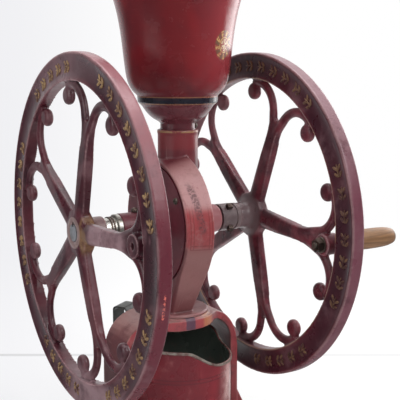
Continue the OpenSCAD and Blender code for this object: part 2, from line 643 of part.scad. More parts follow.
module hopper_screw() color([0.5, 0.3, 0.3]) translate([0, 0, shaft_h + seat_h + 5]) rotate(-25) rotate([0, 90, 0]) {
    translate([0, 0, spigot_r + seat_gap]) cylinder(h = waist_r - spigot_r + 1, r = 2, $fn = 24);
    translate([0, 0, waist_r + 0.3]) rotate_extrude($fn = 32) polygon([[0, 0], [3.6, 0], [3.6, 1], [2.4, 2.4], [0, 2.8]]);
}
lid_h = shaft_h + mouth_h;
lid_lip = 5;
lid_inner_r = mouth_r - hopper_wall - 5;
module hopper_lid() color([0.47, 0.16, 0.18]) translate([0, 0, lid_h + seat_gap]) difference() {
    rotate_extrude($fn = 144) polygon(concat(
        [[0, -lid_lip], [lid_inner_r, -lid_lip], [lid_inner_r + 2.8, -lid_lip / 2], [lid_inner_r + 2.8, 0], [mouth_r + 1.5, 0],
         [mouth_r + 2.2, 1.4], [mouth_r + 1.5, 3]],
        bez([mouth_r - 4, 4], [mouth_r - 18, dome_h * 0.7], [48, dome_h * 0.82], [22, dome_h - 2], 12),
        [[14, dome_h], [0, dome_h]]));
    rotate_extrude($fn = 144) polygon(concat([[0, -lid_lip - 1], [lid_inner_r - 3, -lid_lip - 1]],
        bez([lid_inner_r - 3, 0], [mouth_r - 23, dome_h * 0.62], [44, dome_h * 0.74], [18, dome_h - 5], 12),
        [[0, dome_h - 4]]));
    cylinder(h = 2 * dome_h, r = 2.6, $fn = 24);
}
knob_l = 40;
module lid_knob() color([0.2, 0.12, 0.12]) translate([0, 0, lid_h + seat_gap + dome_h]) difference() {
    rotate_extrude($fn = 60) polygon(concat([[0, 0], [12, 0], [12.4, 1.5], [11, 3]],
        bez([8, 5], [5, 8], [5.5, 12], [7, 15], 6),
        bez([7, 15], [13, 17], [16, 21], [15.6, 27], 6),
        bez([15.6, 27], [15, 33], [9, 38], [0, knob_l], 8)));
    translate([0, 0, -1]) cylinder(h = 16, r = 2.1, $fn = 24);
}
module lid_knob_screw() color("silver") translate([0, 0, lid_h + dome_h - 5.3]) {
    cylinder(h = 16, r = 2, $fn = 24);
    translate([0, 0, -2.4]) cylinder(h = 2.4, r = 4.6, $fn = 32);
}

// ---- catch can ----

// Everything above the can's rim: a plane that dips toward the mouth, and the scoop cut below it
module above_rim(lift) translate([0, 0, can_top + lift]) rotate(mouth_turn) {
    rotate([90, 0, 90]) translate([0, 0, -1.2 * can_r]) linear_extrude(2.4 * can_r)
        polygon([[-1.2 * can_r, -2.2 * lip_tilt], [1.2 * can_r, 0.2 * lip_tilt], [1.2 * can_r, can_r], [-1.2 * can_r, can_r]]);
    rotate([90, 0, 0]) linear_extrude(1.2 * can_r)
        polygon(concat([[-can_r - 6, 3], [-can_r, 0]],
            bez([-can_r, 0], [-0.86 * can_r, -0.4 * scoop_d], [-0.78 * can_r, -0.74 * scoop_d], [-0.6 * can_r, -0.87 * scoop_d], 8),
            bez([-0.6 * can_r, -0.87 * scoop_d], [-0.3 * can_r, -1.04 * scoop_d], [0.35 * can_r, -1.06 * scoop_d],
                [0.62 * can_r, -0.86 * scoop_d], 8),
            bez([0.62 * can_r, -0.86 * scoop_d], [0.76 * can_r, -0.7 * scoop_d], [0.72 * can_r, -0.42 * scoop_d],
                [0.86 * can_r, -0.22 * scoop_d], 8),
            [[can_r, 0], [can_r + 6, 3]]));
}
module catch_can() color([0.5, 0.17, 0.19]) difference() {
    translate([0, 0, can_floor + part_gap]) difference() {
        cylinder(h = can_h, r = can_r, $fn = 120);
        translate([0, 0, tin_t + 2]) cylinder(h = can_h, r = can_r - tin_t, $fn = 120);
    }
    above_rim(0);
    handle_holes();
}
module can_rim_wire() color([0.65, 0.6, 0.58]) difference() {
    translate([0, 0, can_floor + part_gap + 40]) difference() {
        cylinder(h = can_h, r = can_r + wire_r, $fn = 120);
        translate([0, 0, -1]) cylinder(h = can_h + 2, r = can_r, $fn = 120);
    }
    above_rim(0);
    difference() {
        translate([0, 0, -2]) cylinder(h = 2 * can_h, r = 2 * can_r, $fn = 24);
        above_rim(-2 * wire_r);
    }
    at_handle() translate([can_r - 2, -handle_w / 2 - seat_gap, can_h / 2]) cube([8, handle_w + 2 * seat_gap, can_h]);
}
module at_handle() translate([0, 0, can_floor + part_gap]) rotate(handle_turn - 90) children();
module handle_holes() at_handle() for (z = [can_h * 0.5, can_h - 16])
    translate([can_r - 4, 0, z]) rotate([0, 90, 0]) cylinder(h = 8, r = rivet_r + seat_gap, $fn = 24);
module can_handle() color([0.14, 0.15, 0.14]) difference() {
    at_handle() translate([can_r + 0.2, handle_w / 2, 0]) rotate([90, 0, 0]) linear_extrude(handle_w) difference() {
        strap_outline(0);
        strap_outline(strap_t);
    }
    handle_holes();
}
// Side view of the strap: a tab on the can and a loop that rises above its rim
module strap_outline(t) {
    foot = can_h * 0.5 - 8;
    top = can_h + handle_rise - t;
    r = handle_reach - t;
    tab = t > 0 ? [[t, foot + 18]] : [[0, foot], [strap_t, foot], [strap_t, foot + 16]];
    polygon(concat(tab, [[r - 7, foot + 20 + t]],
        bez([r - 7, foot + 20 + t], [r - 1, foot + 22 + t], [r, foot + 26 + t], [r, foot + 32], 6),
        bez([r, top - 7], [r, top - 2], [r - 3, top], [r - 7, top], 6),
        bez([t + 6, top], [t + 3, top], [t, top - 3], [t, top - 8], 6)));
}
module handle_rivets() color("silver") at_handle() for (z = [can_h * 0.5, can_h - 16])
    translate([can_r - tin_t - 1, 0, z]) rotate([0, 90, 0]) {
        cylinder(h = tin_t + strap_t + 2, r = rivet_r, $fn = 24);
        translate([0, 0, tin_t + strap_t + 1.4]) cylinder(h = 1.4, r1 = rivet_r + 1.6, r2 = rivet_r, $fn = 24);
    }

// ---- crank ----

module at_crank(x) translate([x, -crank_r * cos(right_turn), shaft_h + crank_r * sin(right_turn)])
    rotate([0, 90, 0]) children();
boss_in = right_rim_x - crank_boss_t / 2;
boss_out = right_rim_x + crank_boss_t / 2;
stud_end = grip_x + grip_l - 9;
module crank_stud() color([0.55, 0.52, 0.5]) {
    at_crank(boss_in - 12) cylinder(h = crank_boss_t + 12, r = crank_hole_r - seat_gap, $fn = 32);
    at_crank(boss_out) cylinder(h = grip_x - part_gap - boss_out, r = stud_shoulder_r);
    at_crank(grip_x - part_gap) cylinder(h = stud_end - grip_x + part_gap, r = spindle_r);
}
module crank_nut() color([0.3, 0.22, 0.22]) at_crank(boss_in - 9.5) difference() {
    cylinder(h = 7.4, r = 8.6, $fn = 6);
    translate([0, 0, -1]) cylinder(h = 12, r = crank_hole_r, $fn = 32);
}
module crank_washer() color([0.4, 0.35, 0.33]) at_crank(boss_in - 1.9) ring(1.8, 10.5, crank_hole_r);
module grip_retainer() color("silver") at_crank(stud_end - retainer_t) ring(retainer_t, retainer_r, spindle_r);
module grip_ferrule() color([0.6, 0.55, 0.45]) at_crank(grip_x) ring(ferrule_l, grip_r * 0.72, grip_r * 0.6);
module crank_grip() color([0.74, 0.57, 0.42]) at_crank(grip_x) difference() {
    rotate_extrude($fn = 72) polygon(concat([[0, 0], [grip_r * 0.6 - seat_gap, 0], [grip_r * 0.6 - seat_gap, ferrule_l],
        [grip_r * 0.74, ferrule_l]],
        bez([grip_r * 0.74, ferrule_l], [grip_r * 0.8, grip_l * 0.14], [grip_r * 0.96, grip_l * 0.3], [grip_r, grip_l * 0.5], 10),
        bez([grip_r, grip_l * 0.5], [grip_r, grip_l * 0.72], [grip_r * 0.98, grip_l * 0.86], [grip_r * 0.82, grip_l - 5], 8),
        bez([grip_r * 0.82, grip_l - 5], [grip_r * 0.76, grip_l - 1.5], [grip_r * 0.7, grip_l], [grip_r * 0.62, grip_l], 5),
        [[0, grip_l]]));
    translate([0, 0, -1]) cylinder(h = grip_l + 2, r = spindle_r + run_gap);
    translate([0, 0, grip_l - 9 - retainer_t - part_gap]) cylinder(h = 30, r = retainer_r + part_gap);
}

base();
mill_body();
cover_plate();
cover_screws();
foot_bolts();
guide_screw();
bush_right();
oil_cups();
fixed_burr();
fixed_burr_screws();
hopper();
hopper_screw();
adjusting_nut();
adjusting_sleeve();
bush_left();
lock_rings();
shaft();
left_wheel();
right_wheel();
wheel_keys();
rotating_burr();
burr_pin();
feed_worm();
thrust_collar();
collar_set_screws();
thrust_washers();
crank_stud();
crank_nut();
crank_washer();
grip_retainer();
crank_grip();
grip_ferrule();
hopper_lid();
lid_knob();
lid_knob_screw();
catch_can();
can_rim_wire();
can_handle();
handle_rivets();
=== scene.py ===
# Hand crank coffee grinder with two flywheels: finishes, ornament, light and camera
import json
import math

import bmesh
import bpy
from mathutils import Matrix, Vector

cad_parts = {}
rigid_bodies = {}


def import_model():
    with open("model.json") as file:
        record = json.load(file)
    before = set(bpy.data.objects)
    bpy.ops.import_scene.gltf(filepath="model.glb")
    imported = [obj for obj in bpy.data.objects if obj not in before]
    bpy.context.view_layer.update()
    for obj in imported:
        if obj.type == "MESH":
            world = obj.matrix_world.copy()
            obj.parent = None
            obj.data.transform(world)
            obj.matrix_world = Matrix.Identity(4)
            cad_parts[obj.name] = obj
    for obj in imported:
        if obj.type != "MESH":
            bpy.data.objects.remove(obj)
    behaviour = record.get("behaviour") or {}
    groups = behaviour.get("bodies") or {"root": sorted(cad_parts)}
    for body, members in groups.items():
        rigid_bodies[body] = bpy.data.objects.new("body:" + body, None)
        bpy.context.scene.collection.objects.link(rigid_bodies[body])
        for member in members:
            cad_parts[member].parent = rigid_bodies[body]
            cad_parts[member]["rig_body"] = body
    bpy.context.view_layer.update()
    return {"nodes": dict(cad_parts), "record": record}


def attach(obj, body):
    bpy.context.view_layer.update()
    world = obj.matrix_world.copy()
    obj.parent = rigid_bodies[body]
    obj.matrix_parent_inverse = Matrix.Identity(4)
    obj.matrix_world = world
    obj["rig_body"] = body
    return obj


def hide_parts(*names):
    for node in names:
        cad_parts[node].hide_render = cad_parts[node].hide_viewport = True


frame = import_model()
nodes = frame["nodes"]
print("frame loaded:", len(nodes), "nodes")


def plug(tree, socket, value):
    # a socket takes either a link or a plain value
    if isinstance(value, bpy.types.NodeSocket):
        tree.links.new(value, socket)
    elif isinstance(value, tuple) and len(value) == 3 and socket.type == "RGBA":
        socket.default_value = (*value, 1)
    else:
        socket.default_value = value


def sums(tree, operation, a, b=0.0, clamp=False):
    node = tree.nodes.new("ShaderNodeMath")
    node.operation = operation
    node.use_clamp = clamp
    plug(tree, node.inputs[0], a)
    plug(tree, node.inputs[1], b)
    return node.outputs[0]


def times(tree, *factors):
    product = factors[0]
    for factor in factors[1:]:
        product = sums(tree, "MULTIPLY", product, factor)
    return product


def plus(tree, a, b):
    return sums(tree, "ADD", a, b)


def less(tree, a, b):
    return sums(tree, "SUBTRACT", a, b)


def most(tree, *values):
    # the greatest of the values
    found = values[0]
    for value in values[1:]:
        found = sums(tree, "MAXIMUM", found, value)
    return found


def ramp(tree, value, low, high):
    # 0 below low, 1 above high, smooth between; low may be the larger one
    node = tree.nodes.new("ShaderNodeMapRange")
    node.interpolation_type = "SMOOTHSTEP"
    plug(tree, node.inputs["Value"], value)
    flip = low > high
    plug(tree, node.inputs["From Min"], min(low, high))
    plug(tree, node.inputs["From Max"], max(low, high))
    plug(tree, node.inputs["To Min"], 1.0 if flip else 0.0)
    plug(tree, node.inputs["To Max"], 0.0 if flip else 1.0)
    return node.outputs["Result"]


def zone(tree, value, place):
    # two numbers run from none to full, three are a stripe's middle, half width and soft edge
    if len(place) == 2:
        return ramp(tree, value, *place)
    middle, half, soft = place
    return ramp(tree, sums(tree, "ABSOLUTE", less(tree, value, middle)), half + soft, half)


def blend(tree, mask, a, b):
    node = tree.nodes.new("ShaderNodeMix")
    node.data_type = "RGBA"
    plug(tree, node.inputs[0], mask)
    plug(tree, node.inputs[6], a)
    plug(tree, node.inputs[7], b)
    return node.outputs[2]


def placed(tree, where, turn=(0, 0, 0), stretch=(1, 1, 1), shift=(0, 0, 0)):
    node = tree.nodes.new("ShaderNodeMapping")
    plug(tree, node.inputs["Vector"], where)
    node.inputs["Location"].default_value = shift
    node.inputs["Rotation"].default_value = turn
    node.inputs["Scale"].default_value = stretch
    return node.outputs[0]


def noise(tree, where, scale, detail=4.0, rough=0.55, twist=0.0, shift=None):
    node = tree.nodes.new("ShaderNodeTexNoise")
    plug(tree, node.inputs["Vector"], placed(tree, where, shift=shift) if shift else where)
    node.inputs["Scale"].default_value = scale
    node.inputs["Detail"].default_value = detail
    node.inputs["Roughness"].default_value = rough
    node.inputs["Distortion"].default_value = twist
    return node.outputs[0]


def axes(tree, where):
    node = tree.nodes.new("ShaderNodeSeparateXYZ")
    plug(tree, node.inputs[0], where)
    return node.outputs


def facing(tree):
    # the surface's direction along x, y and z
    return axes(tree, tree.nodes.new("ShaderNodeNewGeometry").outputs["Normal"])


def radius(tree, a, b):
    return sums(tree, "SQRT", plus(tree, times(tree, a, a), times(tree, b, b)))


def alongAxis(tree, x, y, axis):
    return plus(tree, times(tree, x, axis[0]), times(tree, y, axis[1]))


def startMaterial(name):
    mat = bpy.data.materials.new(name)
    mat.use_nodes = True
    tree = mat.node_tree
    where = tree.nodes.new("ShaderNodeTexCoord").outputs["Object"]
    return mat, tree, tree.nodes["Principled BSDF"], where


def bumps(tree, shader, height, strength, depth):
    node = tree.nodes.new("ShaderNodeBump")
    node.inputs["Strength"].default_value = strength
    node.inputs["Distance"].default_value = depth
    plug(tree, node.inputs["Height"], height)
    tree.links.new(node.outputs[0], shader.inputs["Normal"])


def srgb(r, g, b):
    # display colour 0..255 to the linear value a shader takes
    return tuple((c / 255 / 12.92) if c < 10.3 else (((c / 255 + 0.055) / 1.055) ** 2.4) for c in (r, g, b))


def patch(tree, layer, seen):
    # a layer's mask: its zones and its share multiplied, with True for what is a mask already
    mask = layer.get("share", 1)
    for key, place in layer.items():
        if key != "share":
            mask = times(tree, mask, seen[key] if place is True else zone(tree, seen[key], place))
    return mask


def layered(tree, coat, colours, layers, seen):
    # colours laid over the coat one after the other, each through its mask
    for colour, layer in layers:
        coat = blend(tree, patch(tree, layer, seen), coat, colours[colour])
    return coat


# what old enamel does unless a look says otherwise
paintHabits = dict(
    cloudScale=14, cloudRange=(0.34, 0.68), rubScale=24, rubRange=(0.56, 0.72), rubAmount=0.5,
    edges=0, edgeRange=(0.51, 0.56), edgeWearAndLight=(0.3, 0.55), hollowRange=(0.495, 0.44), hollowAmount=0.7,
    chipScale=120, chipRange=(0.66, 0.7), chipAmount=0.8, chipDepth=0.6,
    scratchTurn=(0.5, 0.3, 0.9), scratchRun=(900, 30, 30), scratchRange=(0.66, 0.74), scratchAmount=0.35,
    gloss=(0.3, 0.5), glossRange=(0.35, 0.7), shine=0.5,
    grainScale=260, grain=0.25, relief=0.5, reliefDepth=0.0005,
)


def wornPaint(name, look, paintOver=None):
    # old enamel: mottled coat, rubbed places, chips to the dark primer, fine scratches, painted shade in the
    # hollows, edges lighter from wear and painted highlight
    look = dict(paintHabits, **look)
    mat, tree, shader, where = startMaterial(name)
    cloudy = noise(tree, where, look["cloudScale"], detail=5, rough=0.6, twist=0.4)
    coat = blend(tree, zone(tree, cloudy, look["cloudRange"]), look["shade"], look["paint"])
    if paintOver:
        coat = paintOver(tree, where, coat)
    rubbed = noise(tree, where, look["rubScale"], detail=8, rough=0.65, twist=0.2, shift=(3, 1, 7))
    rubs = times(tree, zone(tree, rubbed, look["rubRange"]), look["rubAmount"])
    coat = blend(tree, rubs, coat, look["rubbed"])
    if look["edges"]:
        curve = tree.nodes.new("ShaderNodeNewGeometry").outputs["Pointiness"]
        # painted shade: concave places darkened towards the primer colour
        hollowShade = times(tree, zone(tree, curve, look["hollowRange"]), look["hollowAmount"])
        coat = blend(tree, hollowShade, coat, look["primerAndShade"])
        # convex edges lighter: partly wear, partly painted highlight
        bright = times(tree, zone(tree, rubbed, look["edgeWearAndLight"]), look["edges"])
        edge = times(tree, zone(tree, curve, look["edgeRange"]), bright)
        coat = blend(tree, edge, coat, look.get("edge", look["rubbed"]))
    speck = noise(tree, where, look["chipScale"], detail=6, rough=0.7, shift=(9, 4, 2))
    chips = zone(tree, speck, look["chipRange"])
    coat = blend(tree, times(tree, chips, look["chipAmount"]), coat, look["primerAndShade"])
    drawn = placed(tree, where, look["scratchTurn"], look["scratchRun"])
    scratchy = noise(tree, drawn, 1.0, detail=2, rough=0.5)
    scratches = times(tree, zone(tree, scratchy, look["scratchRange"]), look["scratchAmount"])
    coat = blend(tree, scratches, coat, look["rubbed"])
    plug(tree, shader.inputs["Base Color"], coat)
    smooth, dull = look["gloss"]
    worn = times(tree, zone(tree, rubbed, look["glossRange"]), dull - smooth)
    plug(tree, shader.inputs["Roughness"], plus(tree, smooth, worn))
    shader.inputs["Specular IOR Level"].default_value = look["shine"]
    grain = noise(tree, where, look["grainScale"], detail=3, rough=0.6, shift=(5, 5, 5))
    height = less(tree, times(tree, grain, look["grain"]), times(tree, chips, look["chipDepth"]))
    bumps(tree, shader, height, look["relief"], look["reliefDepth"])
    return mat


# what old metal does unless a look says otherwise
metalHabits = dict(
    stainScale=60, stainRange=(0.4, 0.66), stainDull=0.3, metal=1.0,
    grainScale=400, relief=0.25, reliefDepth=0.0003,
)


def plainMetal(name, look):
    # steel, iron, bronze and brass with stains and a fine grain
    look = dict(metalHabits, **look)
    mat, tree, shader, where = startMaterial(name)
    stain = noise(tree, where, look["stainScale"], detail=6, rough=0.65, twist=0.3)
    colour = blend(tree, zone(tree, stain, look["stainRange"]), look["clean"], look["stained"])
    plug(tree, shader.inputs["Base Color"], colour)
    plug(tree, shader.inputs["Roughness"], plus(tree, look["gloss"], times(tree, stain, look["stainDull"])))
    shader.inputs["Metallic"].default_value = look["metal"]
    grain = noise(tree, where, look["grainScale"], detail=3, rough=0.6, shift=(1, 8, 3))
    bumps(tree, shader, grain, look["relief"], look["reliefDepth"])
    return mat


woodLook = dict(
    light=srgb(138, 100, 66), dark=srgb(106, 74, 48), grime=srgb(96, 80, 70),
    run=(6, 90, 90), grainRange=(0.35, 0.65), grimeScale=45, grimeRange=(0.5, 0.72), grimeAmount=0.5,
    tip=0.2319, tipSoft=0.006, tipAmount=0.7, gloss=0.48, relief=0.3, reliefDepth=0.0004,
)


def turnedWood(name, look):
    # straight grain along the shaft's direction, dirty from hands and at the tip
    mat, tree, shader, where = startMaterial(name)
    grain = noise(tree, placed(tree, where, stretch=look["run"]), 1.6, detail=6, rough=0.6, twist=1.2)
    colour = blend(tree, zone(tree, grain, look["grainRange"]), look["dark"], look["light"])
    dirty = noise(tree, where, look["grimeScale"], detail=6, rough=0.7, shift=(2, 6, 1))
    grime = times(tree, zone(tree, dirty, look["grimeRange"]), look["grimeAmount"])
    colour = blend(tree, grime, colour, look["grime"])
    tipEnd = zone(tree, axes(tree, where)[0], (look["tip"] - look["tipSoft"], look["tip"]))
    colour = blend(tree, times(tree, tipEnd, look["tipAmount"]), colour, look["grime"])
    plug(tree, shader.inputs["Base Color"], colour)
    shader.inputs["Roughness"].default_value = look["gloss"]
    bumps(tree, shader, grain, look["relief"], look["reliefDepth"])
    return mat


shaftHeight = 0.290

wheelLook = dict(
    paint=srgb(84, 32, 42), shade=srgb(58, 24, 34), rubbed=srgb(120, 86, 92), primerAndShade=srgb(34, 20, 26),
    treadLitHigh=srgb(136, 86, 92), treadLow=srgb(96, 38, 50), treadRight=srgb(104, 58, 70),
    treadLitTop=srgb(134, 104, 110), lip=srgb(128, 94, 98), grooveShade=srgb(54, 28, 38), edge=srgb(156, 124, 126),
    gold=srgb(140, 110, 74), iron=srgb(104, 88, 90), scratch=srgb(196, 96, 84), hub=srgb(146, 126, 122),
    dustAndLight=srgb(160, 130, 136), spokes=srgb(140, 66, 76),
    edges=0.7, shine=0.35, rubRange=(0.5, 0.7), chipAmount=0.6, gloss=(0.26, 0.48),
    wear=dict(scale=34, detail=6, rough=0.7, shift=(2, 2, 2)), ticks=dict(scale=420, detail=3, rough=0.6),
)
rimInner, rimOuter, hubRadius, dustAndLightShare = 0.193, 0.229, 0.020, 0.66
insideRim = (rimInner + 0.0005, rimInner - 0.0005)
onTread = (rimOuter - 0.0012, rimOuter - 0.0004)
onLeft, onRight = (0.01, -0.01), (-0.01, 0.01)
# reach is the distance from the shaft, and x tells the wheels apart
# painted light: the tread paler towards its top on both wheels, as if lit from above
treadLayers = (
    ("treadLitHigh", dict(z=(0.30, 0.46))),
    ("treadRight", dict(x=onRight)),
    ("treadLitTop", dict(x=onRight, z=(0.34, 0.46))),
)
wheelLayers = (
    ("spokes", dict(reach=insideRim, x=onRight, wear=(0.36, 0.7), share=0.6)),
    # painted shade in the recessed cove of both rims
    ("grooveShade", dict(reach=((rimInner + rimOuter) / 2, 0.0115, 0.003), share=0.6)),
    ("lip", dict(reach=(rimInner + 0.001, 0.0006, 0.0006), wear=(0.3, 0.6), share=0.6)),
    ("lip", dict(reach=(rimOuter - 0.002, 0.0008, 0.0008), wear=(0.3, 0.6), share=0.6)),
    # painted shade: the left wheel's upper spoke and the front of its rim darkened with the primer colour
    ("primerAndShade", dict(reach=insideRim, y=(0.004, 0.030, 0.010), z=(0.315, 0.33), x=onLeft, share=0.5)),
    ("primerAndShade", dict(y=(-0.185, -0.20), z=(0.20, 0.24), x=onLeft, share=0.4)),
    # paler places on the left wheel, low on its face, at its top and along its level spoke: dust and painted
    # sheen
    ("dustAndLight", dict(z=(0.125, 0.095), y=(0.06, 0.0), x=onLeft, wear=(0.2, 0.6), share=dustAndLightShare)),
    ("dustAndLight", dict(z=(0.44, 0.48), y=(-0.06, 0.02), x=onLeft, wear=(0.2, 0.6), share=0.4 * dustAndLightShare)),
    ("dustAndLight", dict(
        z=(shaftHeight - 0.006, 0.020, 0.012), y=(-0.088, 0.040, 0.016), x=onLeft,
        wear=(0.2, 0.6), share=dustAndLightShare,
    )),
    ("tread", dict(reach=onTread, wear=(0.2, 0.5))),
    ("scratch", dict(x=(-0.1445, 0.0012, 0.0008), z=(0.244, 0.013, 0.004), reach=onTread, ticks=(0.48, 0.54))),
    ("gold", dict(reach=(rimInner + 0.001, 0.0006, 0.0004), wear=(0.4, 0.5), x=onRight)),
    ("iron", dict(reach=(0.034, 0.026), x=onRight, share=0.9)),
    ("gold", dict(
        y=(-0.027, 0.006, 0.006), z=(shaftHeight, 0.016, 0.014), wear=(0.36, 0.5), x=onLeft, share=0.55,
    )),
    ("hub", dict(reach=(hubRadius + 0.001, hubRadius), x=onLeft, share=0.6)),
)


def wheelCoat(tree, where, coat):
    # rubbed tread and lips, the tread paler on top as painted light, painted shade in the groove and on parts
    # of the left wheel, dust and painted sheen on the left wheel, a worn gilt line inside the right rim, bare
    # iron right hub
    x, y, z = axes(tree, where)
    seen = dict(
        x=x, y=y, z=z, reach=radius(tree, y, less(tree, z, shaftHeight)),
        wear=noise(tree, where, **wheelLook["wear"]), ticks=noise(tree, where, **wheelLook["ticks"]),
    )
    tread = layered(tree, wheelLook["treadLow"], wheelLook, treadLayers, seen)
    return layered(tree, coat, dict(wheelLook, tread=tread), wheelLayers, seen)


bodyLook = dict(
    paint=srgb(112, 42, 50), shade=srgb(80, 30, 38), rubbed=srgb(146, 104, 102), primerAndShade=srgb(34, 26, 30),
    band=srgb(174, 128, 128), bandRed=srgb(138, 34, 40), bandWorn=srgb(84, 52, 56), dustAndLight=srgb(124, 78, 76),
    deep=srgb(98, 38, 44), boss=srgb(174, 112, 116), neck=srgb(132, 44, 48), line=srgb(96, 28, 34),
    gold=srgb(150, 116, 76),
    edges=0.6, chipAmount=0.75, gloss=(0.3, 0.52),
    mottle=dict(scale=95, detail=8, rough=0.75, twist=0.6, shift=(4, 0, 3)),
    dots=dict(scale=330, detail=5, rough=0.7, shift=(4, 0, 3)), dotRange=(0.46, 0.54), dotShare=0.6,
    streakShare=0.22, streakSide=0.022, streakTop=0.056, streakLean=0.12,
)
# places on the drum and pedestal, with up as the height over the shaft
drumPlace = dict(reach=(0.082, 0.084), y=(-0.02, -0.05), up=(0.096, 0.088))
pedestalTop, pedestalFoot = (-0.014, -0.024), (-0.125, -0.112)
panel = dict(
    low=-0.021, high=0.040, fade=0.02, middle=-0.01675, half=0.0133, inset=0.005,
    uprights=(-0.0300, -0.0035, -0.0262, -0.0070), line=0.0004, endLine=0.0005, soft=0.0004,
)
bodyLayers = (
    ("band", dict(drum=True, share=0.9)),
    ("bandRed", dict(drum=True, up=(0.004, 0.020, 0.014), share=0.85)),
    ("rubbed", dict(drum=True, mottle=(0.50, 0.62), share=0.4)),
    ("paint", dict(drum=True, mottle=(0.46, 0.36), share=0.35)),
    # the pedestal paler: dust and painted light
    ("dustAndLight", dict(pedestal=True, share=0.8)),
    # painted shade on the pedestal's side facing -x, chosen by the surface's direction
    ("shade", dict(pedestal=True, facingX=(-0.35, -0.7), share=0.75)),
    ("deep", dict(pedestal=True, up=(-0.070, -0.108), share=0.6)),
    ("bandWorn", dict(drum=True, up=(0.030, 0.024, 0.012), drift=(0, 0.0025, 0.0035), streak=True)),
    ("line", dict(drum=True, pinstripes=True, share=0.5)),
    ("neck", dict(up=(0.098, 0.104), share=0.45)),
    # the boss paler: dust and painted light from above
    ("boss", dict(x=(0.020, 0.034), reach=(0.034, 0.030), share=0.75)),
    ("gold", dict(up=(0.1245, 0.0011, 0.0005), mottle=(0.44, 0.5), share=0.8)),
)


def panelLines(tree, x, up):
    # a double pinstripe round the red panel, closed at its foot and fading towards its top
    low, high, soft = panel["low"], panel["high"], panel["soft"]
    sides = most(tree, *[zone(tree, x, (place, panel["line"], soft)) for place in panel["uprights"]])
    sides = times(tree, sides, zone(tree, up, (low - soft, low)), zone(tree, up, (high, high - panel["fade"])))
    feet = (low, low + panel["inset"])
    ends = most(tree, *[zone(tree, up, (place, panel["endLine"], soft)) for place in feet])
    return most(tree, sides, times(tree, ends, zone(tree, x, (panel["middle"], panel["half"], soft))))


def bodyCoat(tree, where, coat):
    # paler band round the drum with a red panel between pinstripes, a pedestal pale with dust and painted light
    # and with painted shade on its side facing -x, a boss pale with dust and painted light
    x, y, z = axes(tree, where)
    up = less(tree, z, shaftHeight)
    lean = times(tree, less(tree, up, bodyLook["streakTop"]), bodyLook["streakLean"])
    dots = zone(tree, noise(tree, where, **bodyLook["dots"]), bodyLook["dotRange"])
    seen = dict(
        x=x, y=y, up=up, reach=radius(tree, y, up), facingX=facing(tree)[0],
        mottle=noise(tree, where, **bodyLook["mottle"]),
        pedestal=times(tree, zone(tree, up, pedestalTop), zone(tree, up, pedestalFoot)),
        drift=plus(tree, x, plus(tree, bodyLook["streakSide"], lean)),
        streak=plus(tree, bodyLook["streakShare"], times(tree, dots, bodyLook["dotShare"])),
        pinstripes=panelLines(tree, x, up),
    )
    seen["drum"] = patch(tree, drumPlace, seen)
    return layered(tree, coat, bodyLook, bodyLayers, seen)


baseLook = dict(
    paint=srgb(116, 62, 64), shade=srgb(86, 44, 50), rubbed=srgb(158, 118, 112), primerAndShade=srgb(46, 34, 36),
    top=srgb(156, 112, 108), front=srgb(162, 68, 74), amber=srgb(176, 118, 80), slate=srgb(48, 56, 78),
    edges=0.6, chipAmount=0.6, gloss=(0.34, 0.55),
    wear=dict(scale=40, detail=7, rough=0.7, twist=0.3, shift=(6, 2, 2)),
)
onCrown = (0.148, 0.152)
baseLayers = (
    ("front", dict(facingY=(-0.5, -0.85), wear=(0.25, 0.5), share=0.9)),
    # the upward faces paler: wear and painted light from above
    ("top", dict(facingZ=(0.35, 0.8), wear=(0.3, 0.55), share=0.8)),
    ("amber", dict(x=(0.024, 0.006, 0.008), y=(-0.024, -0.034), z=onCrown, wear=(0.35, 0.55), share=0.8)),
    ("slate", dict(x=(-0.008, 0.006, 0.002), y=(-0.036, -0.042), z=onCrown, share=0.75)),
)


def baseCoat(tree, where, coat):
    # worn pale on top with painted light from above, redder in front, with one amber and one slate place on the
    # crown
    x, y, z = axes(tree, where)
    facings = facing(tree)
    seen = dict(
        x=x, y=y, z=z, facingY=facings[1], facingZ=facings[2], wear=noise(tree, where, **baseLook["wear"]),
    )
    return layered(tree, coat, baseLook, baseLayers, seen)


hopperLook = dict(
    paint=srgb(120, 28, 34), shade=srgb(88, 24, 32), rubbed=srgb(140, 62, 66), primerAndShade=srgb(50, 24, 28),
    band=srgb(30, 30, 40), lower=srgb(88, 50, 58), litSide=srgb(152, 62, 68), deep=srgb(84, 18, 24),
    gold=srgb(196, 164, 106), leaf=srgb(92, 92, 66), pale=srgb(216, 200, 156),
    cloudScale=9, rubAmount=0.2, chipAmount=0.4, chipRange=(0.72, 0.76), scratchAmount=0.25,
    scratchTurn=(0, 0, 0), scratchRun=(16, 16, 700), gloss=(0.2, 0.32),
    litAxis=(0.858, -0.514), flakes=dict(scale=380, detail=4, rough=0.7),
)
bandMiddle, bandHalf, bandGap = 0.456, 0.0034, 0.0011
